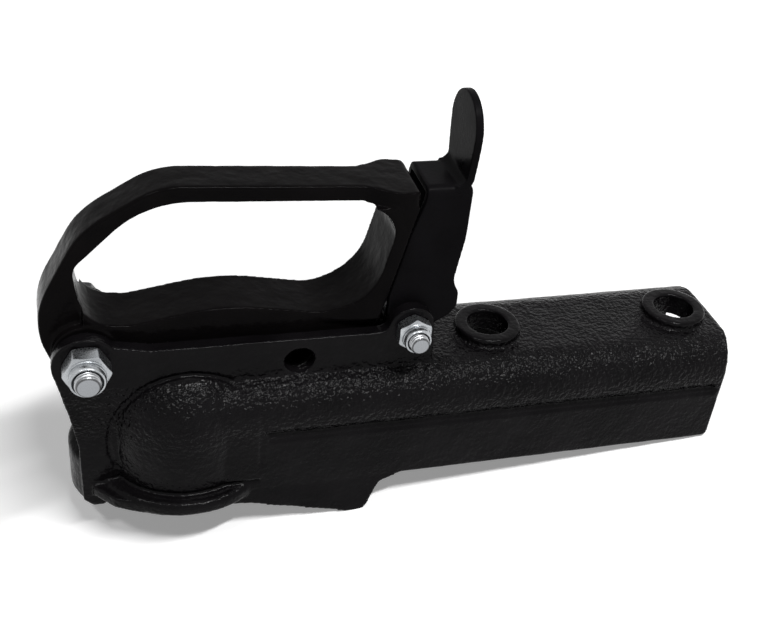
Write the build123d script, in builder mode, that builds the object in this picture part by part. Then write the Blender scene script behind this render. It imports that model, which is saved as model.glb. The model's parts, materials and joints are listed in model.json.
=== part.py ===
"""Trailer ball coupler: a cast body over the ball, a lifting loop handle that carries the jaw, and a thumb latch.

Millimetres. The origin is the centre of the tow ball, +X runs back along the drawbar, +Z is up.
"""

from build123d import *
from math import cos, hypot, pi, radians, sin
import os

# Ball and socket
ball_radius = 25.0
socket_play = 0.4
dome_wall = 8.0
crown_wall = 7.1
shoulder_radius = 25.0
rim_drop = 25.6
rim_flange = 5.6
rim_height = 6.6
rim_round = 1.5
entry_shift = 8.0

# Shank that wraps over a square drawbar
drawbar_width = 50.0
drawbar_play = 0.4
shank_wall = 5.1
roof_wall = 6.5
shank_top = 26.5
shank_bottom = -22.5
shank_edge_radius = 15.5
shank_end = 240.0
shank_end_bow = 4.8
shank_flare = 0.6
drawbar_stop = 94.0
stop_wall = 6.0
channel_corner = 4.0
groove_height = 3.5
groove_depth = 1.2
groove_middle = 5.9
groove_start = 28.8
groove_end = 232.0

# Skirt below the jaw
skirt_half = 34.0
skirt_depth = 38.5
skirt_lip = 3.5
skirt_front = 24.0
skirt_back = 64.0
skirt_heel = 72.5
skirt_slope_top = 78.5
skirt_shelf = 6.0

# Mounting holes
bolt_spacing = 90.0
first_bolt = 130.6
bolt_hole_radius = 8.75
boss_radius = 14.3
boss_height = 3.9
boss_round = 1.0

# Cheeks either side of the handle
cheek_gap = 25.2
cheek_wall = 5.9
cheek_top = 43.5
nose_x = -42.3
nose_bottom = -32.5
nose_chamfer = 3.5
hub_radius = 12.8
hub_drop = 2.0
ear_radius = 9.6
web_top = -9.5
web_bow = 4.4
web_rear = -24.0
web_round = 3.0
cheek_root = 12.0
slot_front = 12.0
slot_rear = 72.0
slot_corner = 5.0
lock_x = 44.1
lock_z = 32.8
lock_radius = 6.0
lock_play = 0.5

# Pivots
front_x = -37.5
front_z = 40.7
rear_x = 89.4
rear_z = 44.2
front_bolt_radius = 5.0
rear_bolt_radius = 4.0
bush_wall = 2.0
running_play = 0.05
bolt_play = 0.1
side_play = 0.3

# Handle
handle_width = 17.2
tongue_width = 23.6
bar_round = 1.0
hub_boss_radius = 12.0
crest = 108.5
pad_height = 103.5
bar_thickness = 6.5
pad_thickness = 5.0
pad_width = 28.0
pad_length = 20.0
pad_short = 0.8
pad_round = 3.0
leg_foot = 46.5
leg_fork = 62.0
leg_length = 38.0
dome_play = 0.8
leg_room = 3.2
toe_drop = 13.7
heel_drop = 15.5
tongue_bottom = 17.0
spring_pocket_radius = 10.7
spring_pocket_width = 11.0

# Jaw and its pin
jaw_reach = 18.6
jaw_z = 0.0
jaw_width = 24.0
jaw_play = 0.1
jaw_lip = -21.0
jaw_top = 13.0
jaw_back = 8.5
chamber_play = 1.0
blade_width = 8.0
blade_radius = 8.0
jaw_pin_radius = 4.0
jaw_ear_gap = 14.6
jaw_ear_width = 20.8
jaw_slot_wall = 6.0
clip_thickness = 0.9
clip_radius = 6.2
clip_groove = 0.5
clip_mouth = 5.0
pin_overhang = 1.6

# Latch of bent sheet
latch_sheet = 3.2
latch_side_play = 0.15
latch_top = 104.4
latch_bend = 3.7
latch_gap = 2.7
latch_lobe_radius = 9.0
latch_back = 19.9
tab_width = 28.0
tab_base_width = 24.0
tab_top = 137.9
tab_widest = 124.0

# Fasteners
front_flats = 16.0
rear_flats = 13.0
front_nut_height = 11.7
rear_nut_height = 9.5
front_head_height = 6.4
rear_head_height = 5.3
bolt_end = 2.8
thread_play = 0.05
collar_height = 4.2
collar_wall = 1.1
insert_height = 2.2
insert_sink = 0.5

# Springs
hook_play = 0.2
wire_sides = 8
handle_wire = 1.1
handle_coil_radius = 8.8
handle_pitch = 2.8
handle_leg_rise = 6.5
handle_leg_in = 12.0
handle_leg_out = 18.9
cheek_hook_depth = 2.9
latch_wire = 0.9
latch_coil_radius = 7.4
latch_pitch = 2.1
latch_leg_fall = 35.0
latch_leg_in = 13.0
jaw_wire = 0.5
jaw_coil_radius = 4.9
jaw_pitch = 1.1

# Sizes that follow from the ones above
socket_radius = ball_radius + socket_play
dome_radius = socket_radius + dome_wall
dome_top = socket_radius + crown_wall
channel_half = drawbar_width / 2 + drawbar_play
shank_half = channel_half + shank_wall
channel_roof = shank_top - roof_wall
boss_top = shank_top + boss_height
bolt_places = [first_bolt, first_bolt + bolt_spacing]
cheek_inner = cheek_gap / 2
cheek_outer = cheek_inner + cheek_wall
handle_half = handle_width / 2
hub_half = cheek_inner - side_play
front_bush_radius = front_bolt_radius + bolt_play + bush_wall
rear_bush_radius = rear_bolt_radius + bolt_play + bush_wall
handle_floor = dome_top + dome_play
pad_rear = rear_x - pad_short
pad_floor = pad_height - bar_thickness + 0.4
jaw_x = socket_radius + jaw_reach
blade_half = blade_width / 2
latch_outer = cheek_inner - latch_side_play
latch_inner = latch_outer - latch_sheet
latch_front = pad_rear + latch_gap
latch_rear = rear_x + latch_back
tongue_half = tongue_width / 2

# The handle spring's last leg leaves the bottom of the coil and ends in the near cheek
handle_half_turns = 5
handle_coil_start = (handle_half_turns + handle_leg_rise / 180) * handle_pitch / 4
rise = radians(handle_leg_rise)
handle_hook_x = front_x + handle_coil_radius * sin(rise) + handle_leg_out * cos(rise)
handle_hook_z = front_z - handle_coil_radius * cos(rise) + handle_leg_out * sin(rise)

# The latch spring's last leg falls from under the coil to the top of the shank
latch_half_turns = 6
latch_coil_start = (latch_half_turns + (90 - latch_leg_fall) / 180) * latch_pitch / 4
fall = radians(latch_leg_fall)
latch_coil_low = rear_z - latch_coil_radius * cos(fall)
latch_leg_out = (latch_coil_low - shank_top - latch_wire * cos(fall)) / sin(fall) - hook_play
latch_hook_x = rear_x - latch_coil_radius
latch_hook_z = rear_z + latch_leg_in


def torsion_spring(coil_radius, wire_radius, pitch, half_turns, extra, leg_in, leg_out, hook_in, hook_out):
    """Wire wound round the Y axis in half circles, each leaning by half a pitch, then by extra degrees.

    It starts at the bottom running to +X and winds towards -Y. Each end has a straight leg, and a hook
    along Y unless the hook's length is 0.
    """
    lean_radius = hypot(coil_radius, pitch / 4)
    bend = 2.5 * wire_radius
    with BuildLine() as path:
        if hook_in:
            FilletPolyline(
                (-leg_in, hook_in, -coil_radius), (-leg_in, 0, -coil_radius), (0, 0, -coil_radius), radius=bend
            )
        else:
            Line((-leg_in, 0, -coil_radius), (0, 0, -coil_radius))
        for half in range(half_turns + 1):
            side = (-1) ** half
            y = -half * pitch / 2
            arc = ThreePointArc(
                (0, y, -side * coil_radius),
                (side * lean_radius, y - pitch / 4, 0),
                (0, y - pitch / 2, side * coil_radius),
                mode=Mode.PRIVATE,
            )
            share = 1 if half < half_turns else extra / 180
            turn = add(arc.trim(0, share))
        tip = arc @ share
        corner = tip + (arc % share) * leg_out
        if hook_out:
            FilletPolyline(tip, corner, corner + Vector(0, hook_out, 0), radius=bend)
        else:
            Line(tip, corner)
    with BuildPart() as spring:
        with BuildSketch(path.line ^ 0):
            RegularPolygon(wire_radius, wire_sides)
        sweep(path=path.line)
    return spring.part


def hex_end(flats, height, turn):
    """Hexagon with its outer corners turned down, standing on the XY plane."""
    with BuildPart() as head:
        with BuildSketch():
            RegularPolygon(flats / 2, 6, major_radius=False, rotation=turn)
        extrude(amount=height)
        corner_radius = flats / 2 / cos(pi / 6)
        with BuildSketch(Plane.XZ):
            with BuildLine():
                Polyline(
                    (0, 0),
                    (corner_radius, 0),
                    (corner_radius, height - flats / 14),
                    (flats / 2 - flats / 30, height),
                    (0, height),
                    (0, 0),
                )
            make_face()
        revolve(axis=Axis.Z, mode=Mode.INTERSECT)
    return head.part


def bolt(radius, flats, head_height, length, turn):
    """Hex bolt with its head standing on the XY plane and its shank going down."""
    with BuildPart() as blank:
        add(hex_end(flats, head_height, turn))
        with BuildSketch():
            Circle(radius)
        extrude(amount=-length)
        chamfer(blank.edges().group_by(Axis.Z)[0], radius / 5)
    return blank.part


def lock_nut(radius, flats, height, turn):
    """Hex nut with a round collar that holds the locking ring, standing on the XY plane."""
    collar_radius = flats / 2 - flats / 14
    with BuildPart() as nut:
        add(hex_end(flats, height - collar_height, turn))
        with BuildSketch(Plane.XY.offset(height - collar_height)):
            Circle(collar_radius)
        extrude(amount=collar_height)
        chamfer(nut.edges().group_by(Axis.Z)[-1], collar_wall / 2)
        with BuildSketch():
            Circle(radius + thread_play)
        extrude(amount=height, mode=Mode.SUBTRACT)
        with BuildSketch(Plane.XY.offset(height)):
            Circle(collar_radius - collar_wall)
        extrude(amount=-insert_sink - insert_height, mode=Mode.SUBTRACT)
    return nut.part


def locking_ring(radius, flats, height):
    """Ring inside the collar of a lock nut that stands on the XY plane."""
    collar_radius = flats / 2 - flats / 14
    with BuildPart() as ring:
        with BuildSketch(Plane.XY.offset(height - insert_sink)):
            Circle(collar_radius - collar_wall - thread_play)
            Circle(radius + thread_play, mode=Mode.SUBTRACT)
        extrude(amount=-insert_height)
    return ring.part


def bush(radius, bolt_radius):
    """Tube between the cheeks, round the Y axis."""
    with BuildPart() as tube:
        with BuildSketch(Plane.XZ):
            Circle(radius)
            Circle(bolt_radius + bolt_play, mode=Mode.SUBTRACT)
        extrude(amount=cheek_inner, both=True)
    return tube.part


with BuildPart() as nose_web:
    # Bowed web that closes the nose between the cheeks
    with BuildSketch(Plane.XY.offset(nose_bottom + 1)):
        with BuildLine():
            Polyline(
                (nose_x, cheek_inner + 2),
                (web_rear, cheek_inner + 2),
                (web_rear, -cheek_inner - 2),
                (nose_x, -cheek_inner - 2),
            )
            ThreePointArc(
                (nose_x, -cheek_inner - 2),
                (nose_x - web_bow, 0),
                (nose_x, cheek_inner + 2),
            )
        make_face()
    extrude(amount=web_top - nose_bottom - 1)
    fillet(nose_web.edges().group_by(Axis.Z)[-1].sort_by(Axis.X)[0], web_round)

with BuildPart() as body_casting:
    # Side view of the long body, from over the ball to the rear end
    with BuildSketch(Plane.XZ) as side_view:
        with BuildLine():
            FilletPolyline(
                (0, shank_top),
                (shank_end, shank_top),
                (shank_end, shank_bottom),
                (drawbar_stop - skirt_shelf, shank_bottom),
                (skirt_slope_top, shank_bottom - skirt_lip),
                (skirt_heel, -skirt_depth),
                (skirt_back, -skirt_depth),
                (skirt_front, -rim_drop - skirt_lip),
                (0, -rim_drop),
                radius=[1, 2.5, 3.5, 9, 6, 4, 3.5, 3, 1],
                close=True,
            )
        make_face()
    extrude(amount=skirt_half + dome_wall, both=True)

    # Cross-section: rounded shoulders, straight sides, a skirt that flares outwards
    with BuildSketch(Plane.YZ) as cross_section:
        with BuildLine():
            Polyline(
                (0, shank_top),
                (shank_half, shank_top),
                (shank_half, 0),
                (shank_half + shank_flare, shank_bottom),
                (skirt_half, -skirt_depth),
                (0, -skirt_depth),
            )
            mirror(about=Plane.YZ)
        make_face()
        fillet(cross_section.vertices().group_by(Axis.Y)[-1], shank_edge_radius)
    extrude(amount=shank_end, mode=Mode.INTERSECT)

    # Plan view with the bowed rear end
    with BuildSketch(Plane.XY.offset(-skirt_depth)):
        with BuildLine():
            Polyline(
                (shank_end - shank_end_bow, shank_half + shank_flare),
                (skirt_heel, skirt_half),
                (0, skirt_half),
                (0, -skirt_half),
                (skirt_heel, -skirt_half),
                (shank_end - shank_end_bow, -shank_half - shank_flare),
            )
            ThreePointArc(
                (shank_end - shank_end_bow, shank_half + shank_flare),
                (shank_end, 0),
                (shank_end - shank_end_bow, -shank_half - shank_flare),
            )
        make_face()
    extrude(amount=shank_top + skirt_depth, mode=Mode.INTERSECT)

    # Dome over the ball with its shoulder and the flange round the rim
    with BuildSketch(Plane.XZ):
        with BuildLine():
            Polyline(
                (dome_radius, dome_top - shoulder_radius),
                (dome_radius, -rim_drop + rim_height + rim_round),
                (dome_radius + rim_round, -rim_drop + rim_height),
                (dome_radius + rim_flange - rim_round, -rim_drop + rim_height),
                (dome_radius + rim_flange, -rim_drop + rim_height - rim_round),
                (dome_radius + rim_flange, -rim_drop + rim_round),
                (dome_radius + rim_flange - rim_round, -rim_drop),
                (0, -rim_drop),
                (0, dome_top),
                (dome_radius - shoulder_radius, dome_top),
            )
            RadiusArc(
                (dome_radius - shoulder_radius, dome_top),
                (dome_radius, dome_top - shoulder_radius),
                shoulder_radius,
            )
        make_face()
    revolve(axis=Axis.Z)

    # The flange runs on to the nose on both sides
    with BuildSketch(Plane.XY.offset(-rim_drop)):
        with BuildLine():
            Polyline(
                (0, -dome_radius),
                (-12.0, -36.2),
                (-21.2, -32.9),
                (-30.3, -28.3),
                (nose_x + 4.0, -cheek_outer - 1.5),
                (nose_x + 4.0, -cheek_inner),
                (0, -cheek_inner),
                close=True,
            )
        make_face()
        mirror(about=Plane.XZ)
    extrude(amount=rim_height - rim_round)

    # Cheeks: two upright plates from the nose to the ears round the rear bolt
    with BuildSketch(Plane.XZ.offset(cheek_inner)):
        with BuildLine():
            Polyline(
                (nose_x + nose_chamfer, nose_bottom),
                (nose_x, nose_bottom + nose_chamfer),
                (nose_x - 0.4, 0),
                (nose_x - 3.0, 15.5),
                (front_x - hub_radius, front_z - hub_drop),
                (front_x, front_z),
                (front_x + 10.5, cheek_top + 3.2),
                (front_x + 24.0, cheek_top + 0.4),
                (rear_x - ear_radius - 7.4, cheek_top - 0.3),
                (rear_x - ear_radius - 2.2, cheek_top),
                (rear_x - ear_radius - 0.6, cheek_top + 0.9),
                (rear_x - ear_radius + 0.6, cheek_top + 3.6),
                (rear_x, rear_z + 1.0),
                (rear_x + ear_radius, rear_z),
                (rear_x + ear_radius + 1.5, shank_top - roof_wall / 2),
                (-cheek_root, shank_top - roof_wall / 2),
                (-cheek_root, -rim_drop),
                (web_rear - 2.0, -rim_drop),
                (nose_x + 8.0, nose_bottom),
                (nose_x + nose_chamfer, nose_bottom),
            )
        make_face()
        with Locations((front_x, front_z - hub_drop)):
            Circle(hub_radius)
        with Locations((rear_x, rear_z)):
            Circle(ear_radius)
    extrude(amount=cheek_wall)
    mirror(about=Plane.XZ)

    add(nose_web.part)

    # Raised seats round the mounting holes
    with BuildSketch(Plane.XY.offset(channel_roof + 2)):
        with Locations(*[(place, 0) for place in bolt_places]):
            Circle(boss_radius)
    extrude(amount=boss_top - channel_roof - 2)
    seat_faces = body_casting.faces().filter_by(Axis.Z).filter_by_position(Axis.Z, boss_top, boss_top)
    fillet(seat_faces.edges(), boss_round)

    # Ball cavity and the way in from below
    Sphere(socket_radius, mode=Mode.SUBTRACT)
    with BuildSketch(Plane.XY.offset(-skirt_depth)):
        with Locations((entry_shift, 0)):
            Circle(socket_radius)
    extrude(amount=skirt_depth, mode=Mode.SUBTRACT)

    # Jaw chamber behind the ball and the slot above it for the handle
    chamber_rear = drawbar_stop - stop_wall
    with BuildSketch(Plane.XY.offset(-skirt_depth)) as chamber_view:
        with Locations(((entry_shift + chamber_rear) / 2, 0)):
            Rectangle(chamber_rear - entry_shift, 2 * channel_half)
        fillet(chamber_view.vertices().group_by(Axis.X)[-1], stop_wall)
    extrude(amount=skirt_depth + jaw_top + chamber_play, mode=Mode.SUBTRACT)
    with BuildSketch(Plane.XY) as slot_view:
        with Locations(((slot_front + slot_rear) / 2, 0)):
            Rectangle(slot_rear - slot_front, cheek_gap)
        fillet(slot_view.vertices().group_by(Axis.X)[-1], slot_corner)
    extrude(amount=dome_top, mode=Mode.SUBTRACT)

    # Channel for the drawbar, open at the rear and below
    with BuildSketch(Plane.YZ.offset(drawbar_stop)) as channel_view:
        with Locations((0, (channel_roof - skirt_depth) / 2)):
            Rectangle(2 * channel_half, channel_roof + skirt_depth)
        fillet(channel_view.vertices().group_by(Axis.Y)[-1], channel_corner)
    extrude(amount=shank_end, mode=Mode.SUBTRACT)

    # Long groove pressed into each flank
    with BuildSketch(Plane.XZ.offset(shank_half - groove_depth)):
        with Locations(((groove_start + groove_end) / 2, groove_middle)):
            Rectangle(groove_end - groove_start, groove_height)
    groove = extrude(amount=groove_depth + dome_wall, mode=Mode.SUBTRACT)
    mirror(groove, about=Plane.XZ, mode=Mode.SUBTRACT)

    # Holes: mounting bolts down through the roof, pivots and lock pin across the cheeks
    with Locations(*[(place, 0, boss_top) for place in bolt_places]):
        Hole(bolt_hole_radius, depth=boss_height + roof_wall + 2)
    with BuildSketch(Plane.XZ):
        with Locations((front_x, front_z)):
            Circle(front_bolt_radius + bolt_play)
        with Locations((rear_x, rear_z)):
            Circle(rear_bolt_radius + bolt_play)
        with Locations((lock_x, lock_z)):
            Circle(lock_radius)
    extrude(amount=cheek_outer, both=True, mode=Mode.SUBTRACT)

    # Blind hole in the near cheek for the end of the handle spring
    with BuildSketch(Plane.XZ.offset(cheek_inner)):
        with Locations((handle_hook_x, handle_hook_z)):
            Circle(handle_wire + hook_play)
    extrude(amount=cheek_hook_depth, mode=Mode.SUBTRACT)
body_casting.part.label = "body_casting"

with BuildSketch(Plane.XZ) as loop_view:
    # Outer edge of the handle, from the toe under the hub and round by the tongue to the crest
    with BuildLine():
        FilletPolyline(
            (front_x - 9.9, front_z - toe_drop),
            (front_x + 1.9, front_z - heel_drop),
            (front_x + 2.5, handle_floor + leg_room),
            (-13.0, handle_floor + leg_room),
            (-8.0, handle_floor),
            (jaw_x - 19.0, handle_floor),
            (jaw_x - 11.0, tongue_bottom),
            (jaw_x + 16.0, tongue_bottom),
            (jaw_x + 22.5, lock_z - 2.3),
            (rear_x - 14.6, rear_z - 7.2),
            (rear_x - 5.2, rear_z + 34.8),
            (pad_rear, pad_height - pad_thickness),
            (pad_rear, pad_height),
            (-8.4, crest),
            (front_x + 0.8, crest - 17.0),
            (front_x - 19.0, front_z + 13.9),
            radius=[3, 2.2, 1, 2, 3, 3, 2.2, 2.5, 6, 3, 60, 1, 2, 30, 35, 35],
            close=True,
        )
    make_face()
    with Locations((front_x, front_z)):
        Circle(hub_boss_radius)

with BuildSketch(Plane.XZ) as ring_view:
    # The outer edge less the opening for the hand
    add(loop_view.sketch)
    with BuildLine():
        FilletPolyline(
            (front_x - 2.6, front_z + 34.9),
            (-13.2, crest - bar_thickness),
            (rear_x - 6.8, pad_floor),
            (rear_x - 16.2, rear_z + 11.9),
            (rear_x - 36.4, rear_z + 6.4),
            (front_x + 52.5, front_z + 16.9),
            (front_x + 17.0, front_z + 10.6),
            (front_x + 0.1, front_z + 12.6),
            radius=[8, 38, 13, 23, 25, 80, 18, 14],
            close=True,
        )
    make_face(mode=Mode.SUBTRACT)

with BuildPart() as lower_bar:
    # The tongue and the bar above it fill the gap between the cheeks
    with BuildSketch(Plane.XZ):
        add(ring_view.sketch)
        with Locations((rear_x, tongue_bottom)):
            Rectangle(2 * (rear_x - front_x), 2 * (leg_fork - tongue_bottom), mode=Mode.INTERSECT)
    extrude(amount=tongue_half, both=True)

with BuildPart() as rear_leg:
    # Above the cheeks the rear leg is as wide as the pad and narrows to the lower bar
    with BuildSketch(Plane.XZ):
        add(ring_view.sketch)
        with Locations((rear_x, (leg_foot + pad_floor) / 2)):
            Rectangle(2 * leg_length, pad_floor - leg_foot, mode=Mode.INTERSECT)
    extrude(amount=pad_width / 2, both=True)
    with BuildSketch(Plane.XY.offset(leg_foot)):
        with BuildLine():
            Polyline(
                (rear_x - leg_length, tongue_half),
                (rear_x - leg_length / 2, pad_width / 2),
                (rear_x, pad_width / 2),
                (rear_x, -pad_width / 2),
                (rear_x - leg_length / 2, -pad_width / 2),
                (rear_x - leg_length, -tongue_half),
                close=True,
            )
        make_face()
    extrude(amount=pad_floor - leg_foot, mode=Mode.INTERSECT)

with BuildPart() as thumb_pad:
    # The rear of the top bar widens into a pad, flush with the bar's own top
    with BuildSketch(Plane.XZ):
        add(loop_view.sketch)
        with Locations((pad_rear - pad_length / 2, pad_height)):
            Rectangle(pad_length, 2 * (pad_height - pad_floor), mode=Mode.INTERSECT)
    extrude(amount=pad_width / 2, both=True)
    with BuildSketch(Plane.XY.offset(pad_floor)):
        with Locations((pad_rear - pad_length / 2, 0)):
            Rectangle(pad_length + pad_round, pad_width + pad_round)
        with BuildLine():
            FilletPolyline(
                (pad_rear - pad_length - pad_round, handle_half),
                (pad_rear - pad_length, handle_half),
                (pad_rear - pad_length / 2, pad_width / 2),
                (pad_rear, pad_width / 2),
                (pad_rear, -pad_width / 2),
                (pad_rear - pad_length / 2, -pad_width / 2),
                (pad_rear - pad_length, -handle_half),
                (pad_rear - pad_length - pad_round, -handle_half),
                radius=[0.5, 8, 8, pad_round, pad_round, 8, 8, 0.5],
                close=True,
            )
        make_face(mode=Mode.SUBTRACT)
    extrude(amount=2 * bar_thickness, mode=Mode.SUBTRACT)

with BuildPart() as handle:
    # Loop, with its wide lower bar, rear leg and pad
    with BuildSketch(Plane.XZ):
        add(ring_view.sketch)
    extrude(amount=handle_half, both=True)
    fillet(handle.edges().filter_by_position(Axis.Y, handle_half, handle_half), bar_round)
    fillet(handle.edges().filter_by_position(Axis.Y, -handle_half, -handle_half), bar_round)
    add(thumb_pad.part)
    add(rear_leg.part)
    add(lower_bar.part)

    # Hub bosses that run between the cheeks
    with BuildSketch(Plane.XZ):
        with Locations((front_x, front_z)):
            Circle(hub_boss_radius)
    extrude(amount=hub_half, both=True)

    # Blade that goes down to the jaw pin
    with BuildSketch(Plane.XZ):
        with BuildLine():
            Polyline(
                (jaw_x - blade_radius, jaw_z),
                (jaw_x - blade_radius - 2.0, tongue_bottom + 4),
                (jaw_x + blade_radius + 5.0, tongue_bottom + 4),
                (jaw_x + blade_radius, jaw_z),
                (jaw_x - blade_radius, jaw_z),
            )
        make_face()
        with Locations((jaw_x, jaw_z)):
            Circle(blade_radius)
    extrude(amount=blade_half, both=True)

    # Holes for the bush, the lock pin and the jaw pin
    with BuildSketch(Plane.XZ):
        with Locations((front_x, front_z)):
            Circle(front_bush_radius + running_play)
        with Locations((lock_x, lock_z)):
            Circle(lock_radius + lock_play)
        with Locations((jaw_x, jaw_z)):
            Circle(jaw_pin_radius + running_play)
    extrude(amount=hub_half, both=True, mode=Mode.SUBTRACT)

    # Pocket in the hub for the spring, open below, and the hole for its upper leg
    with BuildSketch(Plane.XZ):
        with Locations((front_x, front_z)):
            Circle(spring_pocket_radius)
        with Locations((front_x, front_z - toe_drop)):
            Rectangle(2 * spring_pocket_radius, 2 * toe_drop)
    extrude(amount=spring_pocket_width / 2, both=True, mode=Mode.SUBTRACT)
    with BuildSketch(Plane.YZ.offset(front_x)):
        with Locations((handle_coil_start, front_z + handle_coil_radius)):
            Circle(handle_wire + hook_play)
    extrude(amount=handle_leg_in + hook_play, mode=Mode.SUBTRACT)
handle.part.label = "handle"

with BuildPart() as handle_bush:
    with Locations((front_x, 0, front_z)):
        add(bush(front_bush_radius, front_bolt_radius))
handle_bush.part.label = "handle_bush"

with BuildPart() as latch_bush:
    with Locations((rear_x, 0, rear_z)):
        add(bush(rear_bush_radius, rear_bolt_radius))
latch_bush.part.label = "latch_bush"

# Pivot bolts go in from the far side, and their nuts are on the near side
front_far = Location((front_x, cheek_outer, front_z), (-90, 0, 0))
rear_far = Location((rear_x, cheek_outer, rear_z), (-90, 0, 0))
front_near = Location((front_x, -cheek_outer, front_z), (90, 0, 0))
rear_near = Location((rear_x, -cheek_outer, rear_z), (90, 0, 0))
front_grip = 2 * cheek_outer + front_nut_height + bolt_end
rear_grip = 2 * cheek_outer + rear_nut_height + bolt_end

with BuildPart() as front_bolt:
    with Locations(front_far):
        add(bolt(front_bolt_radius, front_flats, front_head_height, front_grip, 0))
front_bolt.part.label = "front_bolt"

with BuildPart() as rear_bolt:
    with Locations(rear_far):
        add(bolt(rear_bolt_radius, rear_flats, rear_head_height, rear_grip, 30))
rear_bolt.part.label = "rear_bolt"

with BuildPart() as front_nut:
    with Locations(front_near):
        add(lock_nut(front_bolt_radius, front_flats, front_nut_height, 0))
front_nut.part.label = "front_nut"

with BuildPart() as rear_nut:
    with Locations(rear_near):
        add(lock_nut(rear_bolt_radius, rear_flats, rear_nut_height, 30))
rear_nut.part.label = "rear_nut"

with BuildPart() as front_nut_insert:
    with Locations(front_near):
        add(locking_ring(front_bolt_radius, front_flats, front_nut_height))
front_nut_insert.part.label = "front_nut_insert"

with BuildPart() as rear_nut_insert:
    with Locations(rear_near):
        add(locking_ring(rear_bolt_radius, rear_flats, rear_nut_height))
rear_nut_insert.part.label = "rear_nut_insert"

with BuildPart() as handle_spring:
    # Both legs of the coil point back: one into the handle, one along to the near cheek
    with Locations(Location((front_x, handle_coil_start, front_z), (0, 180, 0))):
        add(
            torsion_spring(
                handle_coil_radius,
                handle_wire,
                handle_pitch,
                handle_half_turns,
                handle_leg_rise,
                handle_leg_in,
                handle_leg_out,
                0,
                handle_coil_start - cheek_inner - cheek_hook_depth + 2 * hook_play,
            )
        )
handle_spring.part.label = "handle_spring"

with BuildPart() as latch_spring:
    # One leg rises in front of the coil to the far plate of the latch, the other rests on the shank
    with Locations(Location((rear_x, latch_coil_start, rear_z), (0, 90, 0))):
        add(
            torsion_spring(
                latch_coil_radius,
                latch_wire,
                latch_pitch,
                latch_half_turns,
                90 - latch_leg_fall,
                latch_leg_in,
                latch_leg_out,
                latch_outer - latch_coil_start - hook_play,
                0,
            )
        )
latch_spring.part.label = "latch_spring"

with BuildPart() as jaw:
    # Block behind the ball with a hollow face that fits it
    with BuildSketch(Plane.XZ):
        with BuildLine():
            FilletPolyline(
                (jaw_x - 32.0, jaw_lip),
                (jaw_x - 8.0, jaw_lip),
                (jaw_x + 6.0, jaw_z - blade_radius - 1),
                (jaw_x + jaw_back, jaw_z),
                (jaw_x + 6.0, jaw_z + blade_radius),
                (jaw_x - 4.0, jaw_top),
                (jaw_x - 32.0, jaw_top),
                radius=[1, 5, 5, 4, 4, 4, 1],
                close=True,
            )
        make_face()
    extrude(amount=jaw_width / 2, both=True)
    Sphere(socket_radius + jaw_play, mode=Mode.SUBTRACT)

    # Slot for the blade between two ears that are narrower than the block
    ear_start = socket_radius + jaw_slot_wall
    with BuildSketch(Plane.XY.offset(jaw_lip)):
        with Locations((ear_start + jaw_width / 2, 0)):
            Rectangle(jaw_width, jaw_ear_gap)
        with Locations(
            (ear_start + jaw_width / 2 + 3.5, (jaw_width + jaw_ear_width) / 4),
            (ear_start + jaw_width / 2 + 3.5, -(jaw_width + jaw_ear_width) / 4),
        ):
            Rectangle(jaw_width, (jaw_width - jaw_ear_width) / 2)
    extrude(amount=jaw_top - jaw_lip, mode=Mode.SUBTRACT)

    with BuildSketch(Plane.XZ):
        with Locations((jaw_x, jaw_z)):
            Circle(jaw_pin_radius + running_play)
    extrude(amount=jaw_width / 2, both=True, mode=Mode.SUBTRACT)
jaw.part.label = "jaw"

clip_place = jaw_ear_width / 2 + hook_play / 2
pin_half = clip_place + clip_thickness + pin_overhang / 2

with BuildPart() as jaw_pin:
    # Pin through blade and ears, with a groove near each end
    with BuildSketch(Plane.XZ):
        with Locations((jaw_x, jaw_z)):
            Circle(jaw_pin_radius)
    extrude(amount=pin_half, both=True)
    chamfer(jaw_pin.faces().filter_by(Axis.Y).edges(), clip_groove)
    with BuildSketch(Plane.XZ.offset(clip_place)):
        with Locations((jaw_x, jaw_z)):
            Circle(jaw_pin_radius + 1)
            Circle(jaw_pin_radius - clip_groove, mode=Mode.SUBTRACT)
    groove_ring = extrude(amount=clip_thickness, mode=Mode.SUBTRACT)
    mirror(groove_ring, about=Plane.XZ, mode=Mode.SUBTRACT)
jaw_pin.part.label = "jaw_pin"

with BuildPart() as jaw_pin_clips:
    # Open ring in each groove of the pin
    with BuildSketch(Plane.XZ.offset(clip_place)):
        with Locations((jaw_x, jaw_z)):
            Circle(clip_radius)
            Circle(jaw_pin_radius - clip_groove + running_play, mode=Mode.SUBTRACT)
        with Locations((jaw_x + clip_radius, jaw_z)):
            Rectangle(2 * clip_radius, clip_mouth, mode=Mode.SUBTRACT)
    extrude(amount=clip_thickness)
    mirror(about=Plane.XZ)
jaw_pin_clips.part.label = "jaw_pin_clips"

with BuildPart() as jaw_spring:
    # A coil each side of the blade, joined by a cross bar that bears on the jaw
    coil_start = -(blade_half + jaw_ear_gap / 2) / 2 + 1.25 * jaw_pitch / 2
    lower_leg = jaw_x - ear_start - jaw_wire - hook_play
    upper_leg = tongue_bottom - jaw_z - hook_play
    with Locations((jaw_x, coil_start, jaw_z)):
        add(
            torsion_spring(
                jaw_coil_radius, jaw_wire, jaw_pitch, 2, 90, lower_leg, upper_leg, -coil_start, 0
            )
        )
    mirror(about=Plane.XZ)
jaw_spring.part.label = "jaw_spring"

bend_x = latch_rear - latch_sheet - latch_bend
bend_z = latch_top + latch_bend

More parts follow.
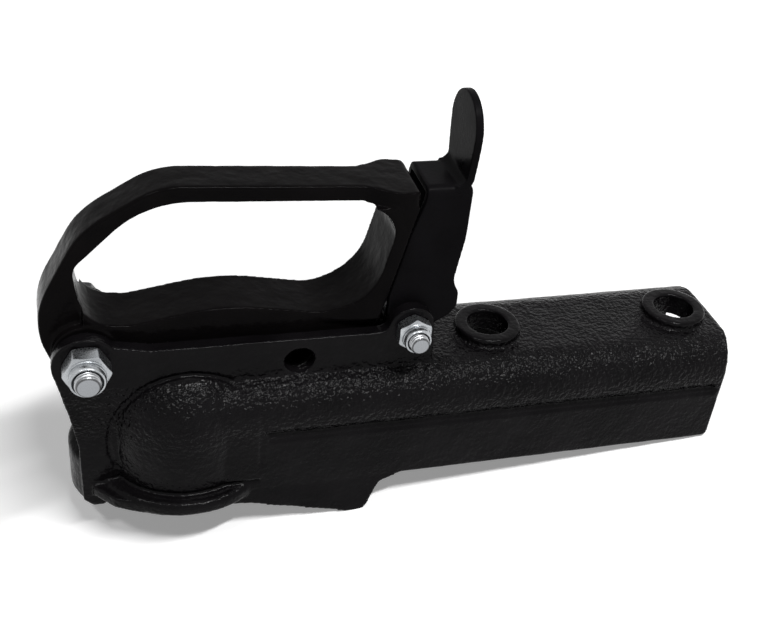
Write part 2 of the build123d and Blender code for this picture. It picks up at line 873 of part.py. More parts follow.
with BuildPart() as thumb_tab:
    # Sheet that turns up from the rear of the bridge
    with BuildSketch(Plane.XZ):
        with BuildLine():
            Line((bend_x, latch_top), (bend_x, latch_top - latch_sheet))
            RadiusArc((bend_x, latch_top - latch_sheet), (latch_rear, bend_z), -latch_bend - latch_sheet)
            Line((latch_rear, bend_z), (latch_rear, tab_top))
            Line((latch_rear, tab_top), (latch_rear - latch_sheet, tab_top))
            Line((latch_rear - latch_sheet, tab_top), (latch_rear - latch_sheet, bend_z))
            RadiusArc((latch_rear - latch_sheet, bend_z), (bend_x, latch_top), latch_bend)
        make_face()
    extrude(amount=tab_width / 2, both=True)

    # Its outline from the front: a narrower root, full sides and a round top
    with BuildSketch(Plane.YZ.offset(bend_x)):
        with BuildLine():
            Polyline(
                (-tab_base_width / 2, bend_z),
                (-tab_base_width / 2, latch_top - latch_sheet),
                (tab_base_width / 2, latch_top - latch_sheet),
                (tab_base_width / 2, bend_z),
            )
            ThreePointArc(
                (tab_base_width / 2, bend_z),
                (tab_width / 2 - 0.8, (bend_z + tab_widest) / 2),
                (tab_width / 2, tab_widest),
            )
            ThreePointArc((tab_width / 2, tab_widest), (0, tab_top), (-tab_width / 2, tab_widest))
            ThreePointArc(
                (-tab_width / 2, tab_widest),
                (-tab_width / 2 + 0.8, (bend_z + tab_widest) / 2),
                (-tab_base_width / 2, bend_z),
            )
        make_face()
    extrude(amount=latch_bend + latch_sheet, mode=Mode.INTERSECT)

with BuildPart() as latch:
    # Side plates: front edge beside the handle, lobe round the bolt, heel at the back
    with BuildSketch(Plane.XZ):
        with BuildLine():
            FilletPolyline(
                (latch_front, latch_top),
                (latch_front - 0.7, latch_top - 6.4),
                (rear_x - 3.0, rear_z + 40.3),
                (rear_x - 9.2, rear_z + 11.8),
                (rear_x - latch_lobe_radius, rear_z),
                (rear_x, rear_z),
                (rear_x + 1.0, rear_z - latch_lobe_radius),
                (rear_x + 17.5, rear_z + 1.0),
                (rear_x + 20.4, rear_z + 5.0),
                (rear_x + 20.2, rear_z + 11.5),
                (rear_x + 17.2, rear_z + 17.0),
                (rear_x + 19.9, rear_z + 38.0),
                (latch_rear, latch_top),
                radius=[1, 8, 40, 20, 4, 0.5, 0.5, 3, 3, 5, 10, 40, 2],
                close=True,
            )
        make_face()
        with Locations((rear_x, rear_z)):
            Circle(latch_lobe_radius)
    extrude(amount=latch_outer, both=True)

    # Inside of the bent sheet, with round bends along the top
    with BuildSketch(Plane.YZ.offset(latch_front)) as outside_view:
        with Locations((0, (latch_top + rear_z) / 2 - latch_lobe_radius)):
            Rectangle(2 * latch_outer, latch_top - rear_z + 2 * latch_lobe_radius)
        fillet(outside_view.vertices().group_by(Axis.Z)[-1], latch_bend)
    extrude(amount=latch_back * 2, both=True, mode=Mode.INTERSECT)
    with BuildSketch(Plane.YZ.offset(latch_front)) as inside_view:
        with Locations((0, (latch_top - latch_sheet + rear_z) / 2 - latch_lobe_radius)):
            Rectangle(2 * latch_inner, latch_top - latch_sheet - rear_z + 2 * latch_lobe_radius)
        fillet(inside_view.vertices().group_by(Axis.Z)[-1], latch_bend - latch_sheet)
    extrude(amount=latch_back * 2, both=True, mode=Mode.SUBTRACT)
    with BuildSketch(Plane.XY.offset(latch_top - latch_bend)):
        with Locations((latch_rear, 0)):
            Rectangle(2 * (latch_rear - bend_x), 2 * latch_inner)
    extrude(amount=2 * latch_bend, mode=Mode.SUBTRACT)
    add(thumb_tab.part)

    # Pivot hole through both plates and the hole in the far one for the spring
    with BuildSketch(Plane.XZ):
        with Locations((rear_x, rear_z)):
            Circle(rear_bush_radius + running_play)
    extrude(amount=latch_outer, both=True, mode=Mode.SUBTRACT)
    with BuildSketch(Plane.XZ):
        with Locations((latch_hook_x, latch_hook_z)):
            Circle(latch_wire + hook_play)
    extrude(amount=-latch_outer, mode=Mode.SUBTRACT)
latch.part.label = "latch"

pieces = [
    body_casting,
    handle,
    handle_bush,
    front_bolt,
    front_nut,
    front_nut_insert,
    handle_spring,
    jaw,
    jaw_pin,
    jaw_pin_clips,
    jaw_spring,
    latch,
    latch_bush,
    latch_spring,
    rear_bolt,
    rear_nut,
    rear_nut_insert,
]
os.makedirs("parts", exist_ok=True)
for piece in pieces:
    export_step(piece.part, f"parts/{piece.part.label}.step")
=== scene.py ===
"""Looks of the trailer ball coupler: soft cast edges, black paint and bright fasteners in studio light."""

import json
from math import atan2, cos, exp, hypot, pi, radians, sin, tan

import bmesh
import bpy
from mathutils import Matrix, Vector


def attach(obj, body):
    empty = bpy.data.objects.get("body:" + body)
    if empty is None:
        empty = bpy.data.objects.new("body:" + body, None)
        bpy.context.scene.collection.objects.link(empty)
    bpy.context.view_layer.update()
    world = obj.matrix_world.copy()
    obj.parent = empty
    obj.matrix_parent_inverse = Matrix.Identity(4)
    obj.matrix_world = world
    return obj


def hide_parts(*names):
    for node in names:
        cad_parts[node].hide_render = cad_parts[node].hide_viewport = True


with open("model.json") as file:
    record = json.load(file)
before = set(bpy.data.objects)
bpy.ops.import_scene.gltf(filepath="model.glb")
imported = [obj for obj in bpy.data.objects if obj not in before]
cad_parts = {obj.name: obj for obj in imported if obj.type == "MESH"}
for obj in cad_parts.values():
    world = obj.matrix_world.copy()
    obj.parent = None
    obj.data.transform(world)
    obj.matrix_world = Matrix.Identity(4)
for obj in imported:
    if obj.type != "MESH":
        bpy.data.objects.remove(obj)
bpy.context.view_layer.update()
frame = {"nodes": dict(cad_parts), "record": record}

MM = 0.001

# Camera of the photograph
PHOTO_WIDTH = 772
FOCAL_PIXELS = 1120.64
VIEW_AZIMUTH = radians(-19.33)
VIEW_ELEVATION = radians(35.21)
VIEW_ROLL = radians(6.66)
VIEW_SHIFT = Vector((-85.33, -44.29, 470.45)) * MM
SENSOR_WIDTH = 36.0
CLIP_START = 0.01
CALIBRATION_DROP = 10 * MM

# The coupler stands on the heel of its skirt and on the rear end of the shank
SKIRT_FOOT = Vector((66, 0, -38.6)) * MM
SHANK_FOOT = Vector((239, 0, -22.8)) * MM

# Floor, whose own light for seen rays grows with the distance from the skirt's foot
FLOOR_HALF = 6.0
FLOOR_SPAN = (0.12, 0.55)
FLOOR_LIFT = (0.28, 0.8)
FLOOR_COLOUR = (0.9, 0.9, 0.9, 1)
FLOOR_ROUGHNESS = 0.9

# Lamps and the world's light
WHITE = (1, 1, 1, 1)
WORLD_LEVEL = 0.04
LAMP_DISTANCE = 1.3
LAMPS = {
    "key": {
        "target": (0.08, 0, 0.03), "way": (0.16, -0.38, 0.9),
        "width": 0.6, "height": 0.08, "power": 16.0,
    },
    "side": {
        "target": (0.02, 0, 0.03), "way": (-0.4, -0.28, 0.85),
        "width": 0.3, "height": 0.12, "power": 3.0,
    },
}

# Noise patterns: scale, detail and roughness
CAST_GRAINS = (560.0, 1.5, 0.55)
CAST_PITS = (1900.0, 2.0, 0.5)
CAST_SWELLS = (130.0, 2.0, 0.5)
CAST_PATCHES = (40.0, 3.0, 0.6)
SHEET_PEEL = (700.0, 2.0, 0.5)
SHEET_PATCHES = (60.0, 3.0, 0.6)
METAL_STAINS = (180.0, 3.0, 0.55)
METAL_GRAIN = (3.0, 0.6)
BOLT_GRAIN_SCALE = 1600.0
NYLON_GRAIN = (900.0, 2.0, 0.5)

# Levels of a pattern between which a colour or a roughness changes
PATCH_LEVELS = (0.35, 0.7)
GRAIN_LEVELS = (0.35, 0.65)
WIDE_LEVELS = (0.3, 0.7)

# Roughness at the low and high level
CAST_ROUGHNESS = (0.12, 0.2)
SHEET_ROUGHNESS = (0.26, 0.36)
BOLT_ROUGHNESS = (0.24, 0.4)
NYLON_ROUGHNESS = (0.4, 0.55)

# Bumps: distance and strength
SWELL_BUMP = (1.2 * MM, 0.3)
GRAIN_BUMP_DISTANCE = 1.1 * MM
PIT_BUMP = (0.05 * MM, 0.3)
PEEL_BUMP = (0.15 * MM, 0.35)
METAL_BUMP = (0.05 * MM, 0.4)
NYLON_BUMP = (0.05 * MM, 0.3)

# The cast grain is weaker towards the rim, and fades over a short way above the rough part
GRAIN_RISE = (-2 * MM, 13 * MM, 0.28, 1.0)
GRAIN_FADE = 4 * MM
GRAIN_LEFT = 0.2

# Specular levels and colours of the paint on sheet and of the nylon
SHEET_GLOSS = 0.012
SHEET_COLOURS = ((0.0040, 0.0037, 0.0042), (0.0054, 0.0050, 0.0057))
NYLON_GLOSS = 0.2
NYLON_COLOURS = ((0.004, 0.006, 0.007), (0.009, 0.012, 0.014))

# Bolt end by distance from its axis: the plated face, painted shade on the chamfer and grooves, painted
# highlights on the crests, and past the last stop the far head, painted dark as painted shade
RAMP_REACH = 1.04
END_SHADE = (0.73, (0.29, 0.3, 0.315, 1))
# Painted shade on the chamfer and grooves, painted highlights on the crests
THREAD_PAINTED_SHADE_AND_HIGHLIGHT = ((0.77, 0.09), (0.85, 0.11), (0.9, 0.36), (0.97, 0.5))
# Far head painted dark, as painted shade
HEAD_PAINTED_SHADE = (1.0, (0.035, 0.035, 0.037, 1))
METAL_TINT = (1.0, 1.02, 1.05)

# Castings and sheet that are drawn with rounded edges
CASTINGS = {
    "body_casting": {
        "name": "cast_body", "body": "coupler_body",
        "voxel": 0.65 * MM, "rounds": 3, "swell": 0.4 * MM, "swell_size": 9 * MM,
    },
    "handle": {
        "name": "loop_handle", "body": "lift_handle",
        "voxel": 0.6 * MM, "rounds": 5, "swell": 0.3 * MM, "swell_size": 8 * MM,
    },
    "latch": {
        "name": "bent_latch", "body": "thumb_latch",
        "voxel": 0.45 * MM, "rounds": 3, "swell": 0, "swell_size": 0,
    },
}
WELD_DISTANCE = 1e-6
SMOOTH_FACTOR = 0.5
SWELL_MIDDLE = 0.6

# Lines cut into the body casting, in millimetres
BELL_POWER = 6
DOME_BACK = 27
CREASE_RADIUS = 31.2
CREASE_HALF = 0.9
CREASE_DEPTH = 0.7
CREASE_INNER = 17
CREASE_OUTER = 22
CREASE_BOTTOM = -13
BACK_CREASE = 27.6
BACK_CREASE_MIDDLE = 5
BACK_CREASE_REACH = 14
BACK_CREASE_DEPTH = 0.45
BACK_CREASE_INNER = 24
RIM_LINE = -17.7
RIM_HALF = 0.8
RIM_DEPTH = 0.9
RIM_INNER = 18.6
RIM_FRONT = -34
SLOT_START = 30.5
SLOT_END = 233
SLOT_HEIGHT = 3.8
SLOT_HALF = 1.9
SLOT_DEPTH = 1.1
SLOT_INNER = 26
FOOT_CENTRE = (231, -17.7)
FOOT_RADIUS = 5

# Pivot fasteners, from the solids, in millimetres and degrees
CHEEK_OUTER = 18.5
PIVOTS = {
    "front": {
        "x": -37.5, "z": 40.7, "radius": 5.0, "pitch": 1.5, "flats": 16.0, "turn": 0.0,
        "nut": 11.7, "head": 6.4,
    },
    "rear": {
        "x": 89.4, "z": 44.2, "radius": 4.0, "pitch": 1.25, "flats": 13.0, "turn": 30.0,
        "nut": 9.5, "head": 5.3,
    },
}
FASTENERS = ["front_bolt", "front_nut", "rear_bolt", "rear_nut"]
STEPS = 96
SHARP_ANGLE = radians(24)
CORNER_WEAR = 0.22
FLAT_SHARE = 0.472
CHAMFER_SLOPE = tan(radians(60))

# Nut. A step of the collar is its distance from the rim or the recess, and its height over the hexagon
# for the foot and over the nut's top for the two lips.
HOLE_GAP = 0.05
HOLE_BEVEL = 0.6
RIM_PART = 14
COLLAR_HEIGHT = 4.2
COLLAR_WALL = 1.1
INSERT_SINK = 0.5
INSERT_HEIGHT = 2.2
COLLAR_FOOT = ((0.28, 0.04), (0.02, 0.3), (0, 1.35), (-0.34, 1.5), (-0.34, 1.7), (-0.02, 1.95))
COLLAR_LIP = ((-0.02, -1.0), (-0.12, -0.5), (-0.36, -0.14), (-0.62, 0))
RECESS_LIP = ((0.14, -0.02), (0.02, -0.16))

# Bolt: its near end, its thread, and the head as shares of the flat face and steps down from the top
BOLT_END = 2.8
THREAD_LENGTH = 6.0
THREAD_DEPTH = 0.55
GROOVE_POWER = 1.5
ROWS_PER_TURN = 9
END_SHARE = 0.8
END_STEP = 0.08
END_SLOPE = 0.9
END_BREAK = 0.03
END_FACE = 0.9
HEAD_DISH = ((0.6, 0.16), (0.8, 0.06), (1, 0))
HEAD_LIFT = 0.35
WASHER_FACE = 0.3


def new_object(name, data):
    """Object in the scene that holds the mesh, camera or lamp."""
    result = bpy.data.objects.new(name, data)
    bpy.context.scene.collection.objects.link(result)
    return result


def shade_smooth(mesh):
    for polygon in mesh.polygons:
        polygon.use_smooth = True


def add_camera():
    back = Vector(
        (
            sin(VIEW_AZIMUTH) * cos(VIEW_ELEVATION),
            -cos(VIEW_AZIMUTH) * cos(VIEW_ELEVATION),
            sin(VIEW_ELEVATION),
        )
    )
    level_right = Vector((cos(VIEW_AZIMUTH), sin(VIEW_AZIMUTH), 0))
    level_up = back.cross(level_right)
    right = cos(VIEW_ROLL) * level_right + sin(VIEW_ROLL) * level_up
    up = -sin(VIEW_ROLL) * level_right + cos(VIEW_ROLL) * level_up
    place = -VIEW_SHIFT.x * right - VIEW_SHIFT.y * up + VIEW_SHIFT.z * back
    place.z -= CALIBRATION_DROP
    data = bpy.data.cameras.new("camera")
    data.sensor_fit = "HORIZONTAL"
    data.sensor_width = SENSOR_WIDTH
    data.lens = FOCAL_PIXELS / PHOTO_WIDTH * SENSOR_WIDTH
    data.clip_start = CLIP_START
    camera = new_object("camera", data)
    turn = Matrix((right, up, back)).transposed().to_4x4()
    camera.matrix_world = Matrix.Translation(place) @ turn
    bpy.context.scene.camera = camera


def node_tree(name):
    material = bpy.data.materials.new(name)
    material.use_nodes = True
    tree = material.node_tree
    shader = tree.nodes["Principled BSDF"]
    place = tree.nodes.new("ShaderNodeTexCoord").outputs["Object"]
    return material, tree, shader, place


def coordinates(tree, place):
    node = tree.nodes.new("ShaderNodeSeparateXYZ")
    tree.links.new(place, node.inputs["Vector"])
    return node.outputs


def noise(tree, place, scale, detail, roughness):
    node = tree.nodes.new("ShaderNodeTexNoise")
    node.inputs["Scale"].default_value = scale
    node.inputs["Detail"].default_value = detail
    node.inputs["Roughness"].default_value = roughness
    tree.links.new(place, node.inputs["Vector"])
    return node.outputs["Fac"]


def ramp(tree, value, low, high, low_colour, high_colour):
    node = tree.nodes.new("ShaderNodeValToRGB")
    node.color_ramp.elements[0].position = low
    node.color_ramp.elements[1].position = high
    node.color_ramp.elements[0].color = (*low_colour, 1)
    node.color_ramp.elements[1].color = (*high_colour, 1)
    tree.links.new(value, node.inputs["Fac"])
    return node.outputs["Color"]


def span(tree, value, low, high, to_low, to_high):
    node = tree.nodes.new("ShaderNodeMapRange")
    node.interpolation_type = "SMOOTHSTEP"
    tree.links.new(value, node.inputs["Value"])
    node.inputs["From Min"].default_value = low
    node.inputs["From Max"].default_value = high
    node.inputs["To Min"].default_value = to_low
    node.inputs["To Max"].default_value = to_high
    return node.outputs["Result"]


def math_node(tree, kind, first, second=0.0):
    node = tree.nodes.new("ShaderNodeMath")
    node.operation = kind
    for socket, value in zip(node.inputs, (first, second)):
        if isinstance(value, (int, float)):
            socket.default_value = value
        else:
            tree.links.new(value, socket)
    return node.outputs["Value"]


def bump(tree, height, distance, strength, normal=None):
    node = tree.nodes.new("ShaderNodeBump")
    node.inputs["Distance"].default_value = distance
    if isinstance(strength, float):
        node.inputs["Strength"].default_value = strength
    else:
        tree.links.new(strength, node.inputs["Strength"])
    tree.links.new(height, node.inputs["Height"])
    if normal is not None:
        tree.links.new(normal, node.inputs["Normal"])
    return node.outputs["Normal"]


def join(tree, shader, colour, roughness, normal):
    """Lead the three results into the shader."""
    tree.links.new(colour, shader.inputs["Base Color"])
    tree.links.new(roughness, shader.inputs["Roughness"])
    tree.links.new(normal, shader.inputs["Normal"])


def cast_paint(name, rough_below, low, high, gloss, sand):
    """Black gloss paint over a sand-cast surface, smoother above the height rough_below."""
    material, tree, shader, place = node_tree(name)
    height = coordinates(tree, place)["Z"]
    coarse = math_node(
        tree,
        "MULTIPLY",
        span(tree, height, rough_below, rough_below + GRAIN_FADE, sand, sand * GRAIN_LEFT),
        span(tree, height, *GRAIN_RISE),
    )
    grains = noise(tree, place, *CAST_GRAINS)
    pits = noise(tree, place, *CAST_PITS)
    swells = noise(tree, place, *CAST_SWELLS)
    patches = noise(tree, place, *CAST_PATCHES)
    normal = bump(tree, swells, *SWELL_BUMP)
    normal = bump(tree, grains, GRAIN_BUMP_DISTANCE, coarse, normal)
    normal = bump(tree, pits, *PIT_BUMP, normal)
    colour = ramp(tree, patches, *PATCH_LEVELS, low, high)
    join(tree, shader, colour, span(tree, grains, *GRAIN_LEVELS, *CAST_ROUGHNESS), normal)
    shader.inputs["Specular IOR Level"].default_value = gloss
    return material


def sheet_paint(name):
    """Black paint on pressed sheet, with a faint orange peel."""
    material, tree, shader, place = node_tree(name)
    peel = noise(tree, place, *SHEET_PEEL)
    patches = noise(tree, place, *SHEET_PATCHES)
    colour = ramp(tree, patches, *PATCH_LEVELS, *SHEET_COLOURS)
    roughness = span(tree, patches, *WIDE_LEVELS, *SHEET_ROUGHNESS)
    join(tree, shader, colour, roughness, bump(tree, peel, *PEEL_BUMP))
    shader.inputs["Specular IOR Level"].default_value = SHEET_GLOSS
    return material


def bare_metal(name, dark, light, smooth, rough, grain_scale):
    """Plated or turned metal with a fine grain and slight stains."""
    material, tree, shader, place = node_tree(name)
    grain = noise(tree, place, grain_scale, *METAL_GRAIN)
    stains = noise(tree, place, *METAL_STAINS)
    colour = ramp(tree, stains, *WIDE_LEVELS, dark, light)
    roughness = span(tree, grain, *WIDE_LEVELS, smooth, rough)
    join(tree, shader, colour, roughness, bump(tree, grain, *METAL_BUMP))
    shader.inputs["Metallic"].default_value = 1.0
    return material


def bolt_metal_painted_light(name, pivot):
    """Far head painted dark as painted shade; near end with a bright plated face, painted shade on the
    chamfer and grooves, painted highlights on the crests.
    """
    material, tree, shader, place = node_tree(name)
    parts = coordinates(tree, place)
    across = math_node(tree, "SUBTRACT", parts["X"], pivot["x"] * MM)
    above = math_node(tree, "SUBTRACT", parts["Z"], pivot["z"] * MM)
    square = math_node(
        tree, "ADD", math_node(tree, "MULTIPLY", across, across), math_node(tree, "MULTIPLY", above, above)
    )
    reach = math_node(
        tree, "MULTIPLY", math_node(tree, "SQRT", square), 1 / (RAMP_REACH * pivot["radius"] * MM)
    )
    # The far side counts as past the last stop, so the head is painted dark: painted shade
    head = math_node(tree, "GREATER_THAN", parts["Y"], 0.0)
    reach = math_node(tree, "MAXIMUM", reach, head)
    # Ramp over the plated colour: painted shade on the chamfer and grooves, painted highlights on the
    # crests
    painted_light_ramp = tree.nodes.new("ShaderNodeValToRGB")
    stops = painted_light_ramp.color_ramp.elements
    stops[0].position, stops[0].color = END_SHADE
    stops[1].position, stops[1].color = HEAD_PAINTED_SHADE
    for position, level in THREAD_PAINTED_SHADE_AND_HIGHLIGHT:
        stop = stops.new(position)
        stop.color = (*(level * part for part in METAL_TINT), 1)
    tree.links.new(reach, painted_light_ramp.inputs["Fac"])
    grain = noise(tree, place, BOLT_GRAIN_SCALE, *METAL_GRAIN)
    roughness = span(tree, grain, *WIDE_LEVELS, *BOLT_ROUGHNESS)
    join(tree, shader, painted_light_ramp.outputs["Color"], roughness, bump(tree, grain, *METAL_BUMP))
    shader.inputs["Metallic"].default_value = 1.0
    return material


def nylon(name):
    material, tree, shader, place = node_tree(name)
    grain = noise(tree, place, *NYLON_GRAIN)
    colour = ramp(tree, grain, *WIDE_LEVELS, *NYLON_COLOURS)
    roughness = span(tree, grain, *WIDE_LEVELS, *NYLON_ROUGHNESS)
    join(tree, shader, colour, roughness, bump(tree, grain, *NYLON_BUMP))
    shader.inputs["Specular IOR Level"].default_value = NYLON_GLOSS
    return material


materials = {
    "cast_body": cast_paint(
        "cast body paint", rough_below=26 * MM,
        low=(0.0026, 0.0023, 0.0027), high=(0.0056, 0.0050, 0.0057), gloss=0.056, sand=1.0,
    ),
    "cast_handle": cast_paint(
        "cast handle paint", rough_below=-100 * MM,
        low=(0.0026, 0.0022, 0.0024), high=(0.0042, 0.0036, 0.0038), gloss=0.018, sand=0.3,
    ),
    "latch_sheet": sheet_paint("latch paint"),
    "jaw_metal": bare_metal(
        "jaw metal", dark=(0.09, 0.09, 0.095), light=(0.16, 0.16, 0.165),
        smooth=0.42, rough=0.6, grain_scale=900.0,
    ),
    "zinc_steel": bare_metal(
        "zinc plate", dark=(0.31, 0.325, 0.34), light=(0.45, 0.465, 0.48),
        smooth=0.22, rough=0.38, grain_scale=1600.0,
    ),
    "plain_steel": bare_metal(
        "turned steel", dark=(0.35, 0.36, 0.37), light=(0.48, 0.49, 0.5),
        smooth=0.25, rough=0.4, grain_scale=1400.0,
    ),
    "spring_steel": bare_metal(
        "spring wire", dark=(0.2, 0.2, 0.21), light=(0.32, 0.32, 0.33),
        smooth=0.3, rough=0.45, grain_scale=1400.0,
    ),
    "nylon": nylon("dark nylon"),
}
slots = {item["node"]: item["material_slot"] for item in frame["record"]["subparts"]}


def clothe(piece, node):
    """The piece gets the material of the node's slot."""
    piece.data.materials.clear()
    piece.data.materials.append(materials[slots[node]])


def dress(piece, node, body):
    """The piece stands for the node, with its material and on its body."""
    clothe(piece, node)
    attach(piece, body)
    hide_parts(node)


def bell(distance, width):
    return exp(-((distance / width) ** BELL_POWER))


def carve_body(mesh):
    """Creases round the dome and over its rim, the slot along each flank, and the rounded rear foot."""
    cuts = []
    for vertex in mesh.vertices:
        x, y, z = vertex.co / MM
        foot_x, foot_z = x - FOOT_CENTRE[0], z - FOOT_CENTRE[1]
        if foot_x > 0 > foot_z and hypot(foot_x, foot_z) > FOOT_RADIUS:
            shrink = FOOT_RADIUS / hypot(foot_x, foot_z)
            vertex.co.x = (FOOT_CENTRE[0] + foot_x * shrink) * MM
            vertex.co.z = (FOOT_CENTRE[1] + foot_z * shrink) * MM
        depth = 0
        if abs(y) > BACK_CREASE_INNER and abs(z - BACK_CREASE_MIDDLE) < BACK_CREASE_REACH:
            depth += BACK_CREASE_DEPTH * bell(x - BACK_CREASE, CREASE_HALF)
        if abs(y) > RIM_INNER and RIM_FRONT < x < DOME_BACK:
            depth += RIM_DEPTH * bell(z - RIM_LINE, RIM_HALF)
        if CREASE_INNER < abs(y) < CREASE_OUTER and CREASE_BOTTOM < z and x < DOME_BACK:
            depth += CREASE_DEPTH * bell(hypot(x, z) - CREASE_RADIUS, CREASE_HALF)
        if abs(y) > SLOT_INNER and SLOT_START < x < SLOT_END:
            depth += SLOT_DEPTH * bell(z - SLOT_HEIGHT, SLOT_HALF)
        if depth:
            cuts.append((vertex, vertex.normal * depth * MM))
    for vertex, cut in cuts:
        vertex.co -= cut


def evaluated_copy(piece, name):
    """New object that holds the piece's mesh with its modifiers applied."""
    bpy.context.view_layer.update()
    graph = bpy.context.evaluated_depsgraph_get()
    mesh = bpy.data.meshes.new_from_object(piece.evaluated_get(graph))
    result = new_object(name, mesh)
    bpy.data.objects.remove(piece)
    result.name = name
    return result


def soft_casting(node, name, body, voxel, rounds, swell, swell_size):
    """Copy of a CAD node with rounded edges and the gentle waviness of a casting."""
    source = frame["nodes"][node].data.copy()
    welded = bmesh.new()
    welded.from_mesh(source)
    bmesh.ops.remove_doubles(welded, verts=welded.verts, dist=WELD_DISTANCE)
    welded.to_mesh(source)
    welded.free()
    piece = new_object(name, source)
    remesh = piece.modifiers.new("voxels", "REMESH")
    remesh.mode = "VOXEL"
    remesh.voxel_size = voxel
    smooth = piece.modifiers.new("soften", "SMOOTH")
    smooth.factor = SMOOTH_FACTOR
    smooth.iterations = rounds
    if swell:
        texture = bpy.data.textures.new(name + "_swell", "CLOUDS")
        texture.noise_scale = swell_size
        waves = piece.modifiers.new("waves", "DISPLACE")
        waves.texture = texture
        waves.texture_coords = "LOCAL"
        waves.strength = swell
        waves.mid_level = SWELL_MIDDLE
    piece = evaluated_copy(piece, name)
    if node == "body_casting":
        carve_body(piece.data)
    shade_smooth(piece.data)
    dress(piece, node, body)


def turned(name, rings, place, ring_closed):
    """Surface round the Y axis through place. A ring gives radius and y in millimetres at each angle."""
    mesh = bpy.data.meshes.new(name)
    built = bmesh.new()
    rows = []
    for ring in rings:
        row = []
        for step in range(STEPS):
            angle = 2 * pi * step / STEPS
            radius, y = ring(angle)
            x = place["x"] + radius * cos(angle)
            z = place["z"] + radius * sin(angle)
            row.append(built.verts.new((x * MM, y * MM, z * MM)))
        rows.append(row)
    pairs = list(zip(rows, rows[1:]))
    if ring_closed:
        pairs.append((rows[-1], rows[0]))
    for low, high in pairs:
        for step in range(STEPS):
            after = (step + 1) % STEPS
            built.faces.new((low[step], low[after], high[after], high[step]))
    if not ring_closed:
        built.faces.new(rows[0])
        built.faces.new(rows[-1])
    bmesh.ops.recalc_face_normals(built, faces=built.faces)
    built.to_mesh(mesh)
    built.free()
    shade_smooth(mesh)
    mesh.set_sharp_from_angle(angle=SHARP_ANGLE)
    return new_object(name, mesh)


def hex_radius(pivot, angle):
    """Distance to the side of the hexagon, with its corners slightly worn."""
    corner = pivot["flats"] / 2 / cos(pi / 6)
    from_flat = (angle - radians(pivot["turn"])) % (pi / 3) - pi / 6
    return min(pivot["flats"] / 2 / cos(from_flat), corner - CORNER_WEAR)


def circle(radius, y):
    return lambda angle: (radius, y)


def add_nut(which, body):
    """Hexagon with both chamfers, then a stepped collar rolled in over the locking ring."""
    pivot = PIVOTS[which]
    flat = pivot["flats"] * FLAT_SHARE
    rim = pivot["flats"] / 2 - pivot["flats"] / RIM_PART
    recess = rim - COLLAR_WALL
    hole = pivot["radius"] + HOLE_GAP
    top = pivot["nut"]
    hex_top = top - COLLAR_HEIGHT
    seat = top - INSERT_SINK - INSERT_HEIGHT

    def out(height):
        return -CHEEK_OUTER - height

    def edge(height, side):
        def ring(angle):
            radius = hex_radius(pivot, angle)
            return radius, out(height + side * max(radius - flat, 0) / CHAMFER_SLOPE)
        return ring

    def steps(radius, height, profile):
        return [circle(radius + wider, out(height + higher)) for wider, higher in profile]

    rings = [
        circle(hole + HOLE_BEVEL, out(0)),
        circle(flat, out(0)),
        edge(0, 1),
        edge(hex_top, -1),
        circle(flat, out(hex_top)),
        *steps(rim, hex_top, COLLAR_FOOT),
        *steps(rim, top, COLLAR_LIP),
        *steps(recess, top, RECESS_LIP),
        circle(recess, out(seat)),
        circle(hole, out(seat)),
        circle(hole, out(HOLE_BEVEL)),
    ]
    dress(turned(which + "_lock_nut", rings, pivot, True), which + "_nut", body)


def add_bolt(which, body):
    """Hex head on the far side, plain shank, and a thread that shows at the near end."""
    pivot = PIVOTS[which]
    radius = pivot["radius"]
    pitch = pivot["pitch"]
    flat = pivot["flats"] * FLAT_SHARE
    head_top = CHEEK_OUTER + pivot["head"]
    end = -CHEEK_OUTER - pivot["nut"] - BOLT_END
    thread_start = end + THREAD_LENGTH
    depth = THREAD_DEPTH * pitch
    end_radius = END_SHARE * radius

    def threaded(y):
        def ring(angle):
            turn = (y / pitch + angle / (2 * pi)) % 1
            groove = depth * abs(2 * turn - 1) ** GROOVE_POWER
            fade = min(1, (thread_start - y) / pitch)
            return min(radius - groove * fade, end_radius + END_STEP + END_SLOPE * (y - end)), y
        return ring

    def head_edge(angle):
        side = hex_radius(pivot, angle)
        return side, head_top - max(side - flat, 0) / CHAMFER_SLOPE

    rows = round((thread_start - end) / (pitch / ROWS_PER_TURN))
    rings = [
        *(circle(flat * share, head_top - sink) for share, sink in HEAD_DISH),
        head_edge,
        lambda angle: (hex_radius(pivot, angle), CHEEK_OUTER + HEAD_LIFT),
        circle(flat, CHEEK_OUTER + WASHER_FACE),
        circle(flat, CHEEK_OUTER),
        circle(radius, CHEEK_OUTER),
        circle(radius, thread_start),
        *(threaded(thread_start + (end - thread_start) * row / rows) for row in range(1, rows)),
        circle(end_radius, end + END_BREAK),
        circle(end_radius * END_FACE, end),
    ]
    piece = turned(which + "_hex_bolt", rings, pivot, False)
    dress(piece, which + "_bolt", body)
    # The bolt's material carries painted shade and painted highlights on its end, and a far head painted
    # dark as painted shade
    piece.data.materials[0] = bolt_metal_painted_light(which + " bolt zinc with painted shade", pivot)


def seen_ray(tree):
    """One for rays from the camera and for those that mirror or pass the floor and the world on to it."""
    path = tree.nodes.new("ShaderNodeLightPath")
    seen = math_node(tree, "MAXIMUM", path.outputs["Is Camera Ray"], path.outputs["Is Glossy Ray"])
    return math_node(tree, "MAXIMUM", seen, path.outputs["Is Transmission Ray"])


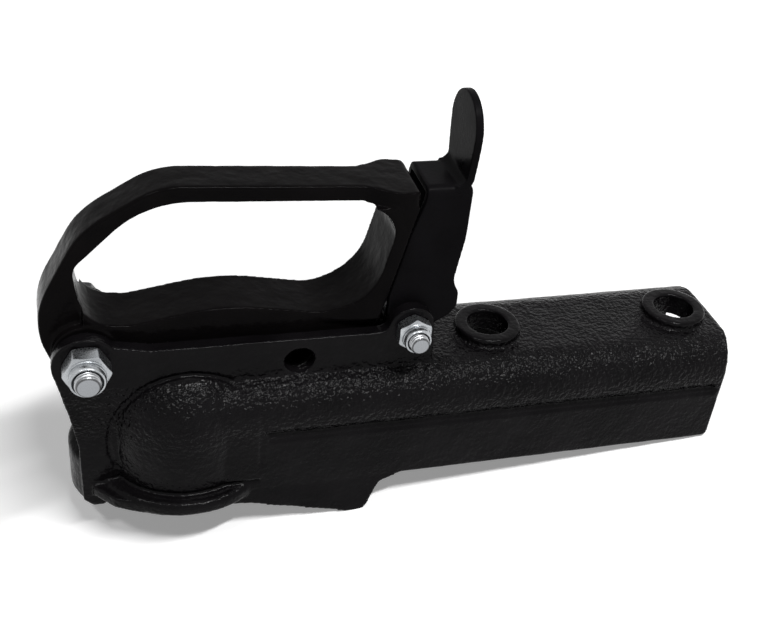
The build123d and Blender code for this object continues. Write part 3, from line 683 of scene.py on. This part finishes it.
def add_floor():
    """Plain pale floor that touches both feet of the coupler."""
    slope = atan2(SHANK_FOOT.z - SKIRT_FOOT.z, SHANK_FOOT.x - SKIRT_FOOT.x)
    mesh = bpy.data.meshes.new("floor")
    signs = ((-1, -1), (1, -1), (1, 1), (-1, 1))
    mesh.from_pydata([(x * FLOOR_HALF, y * FLOOR_HALF, 0) for x, y in signs], [], [(0, 1, 2, 3)])
    floor = new_object("floor", mesh)
    floor.matrix_world = Matrix.Translation(SKIRT_FOOT) @ Matrix.Rotation(-slope, 4, "Y")
    material, tree, shader, place = node_tree("floor")
    shader.inputs["Base Color"].default_value = FLOOR_COLOUR
    shader.inputs["Roughness"].default_value = FLOOR_ROUGHNESS
    shader.inputs["Specular IOR Level"].default_value = 0.0
    shader.inputs["Emission Color"].default_value = WHITE
    reach = tree.nodes.new("ShaderNodeVectorMath")
    reach.operation = "LENGTH"
    tree.links.new(place, reach.inputs[0])
    lift = span(tree, reach.outputs["Value"], *FLOOR_SPAN, *FLOOR_LIFT)
    tree.links.new(math_node(tree, "MULTIPLY", seen_ray(tree), lift), shader.inputs["Emission Strength"])
    mesh.materials.append(material)


def add_world(level):
    """Even light of the given level; the camera, gloss and glass see white."""
    world = bpy.data.worlds.new("studio")
    bpy.context.scene.world = world
    world.use_nodes = True
    tree = world.node_tree
    background = tree.nodes["Background"]
    background.inputs["Color"].default_value = WHITE
    extra = math_node(tree, "MULTIPLY", seen_ray(tree), 1 - level)
    tree.links.new(math_node(tree, "ADD", extra, level), background.inputs["Strength"])


def add_softbox(name, target, way, width, height, power):
    data = bpy.data.lights.new(name, "AREA")
    data.shape = "RECTANGLE"
    data.size = width
    data.size_y = height
    data.energy = power
    lamp = new_object(name, data)
    way = Vector(way).normalized()
    lamp.location = Vector(target) + way * LAMP_DISTANCE
    lamp.rotation_euler = way.to_track_quat("Z", "Y").to_euler()


add_camera()
add_world(WORLD_LEVEL)
add_floor()
for name, lamp in LAMPS.items():
    add_softbox(name, **lamp)

for node in frame["nodes"]:
    if node in CASTINGS:
        soft_casting(node, **CASTINGS[node])
    elif node not in FASTENERS:
        clothe(frame["nodes"][node], node)
for which in PIVOTS:
    add_nut(which, "coupler_body")
    add_bolt(which, "coupler_body")

bpy.context.scene.view_settings.view_transform = "Standard"
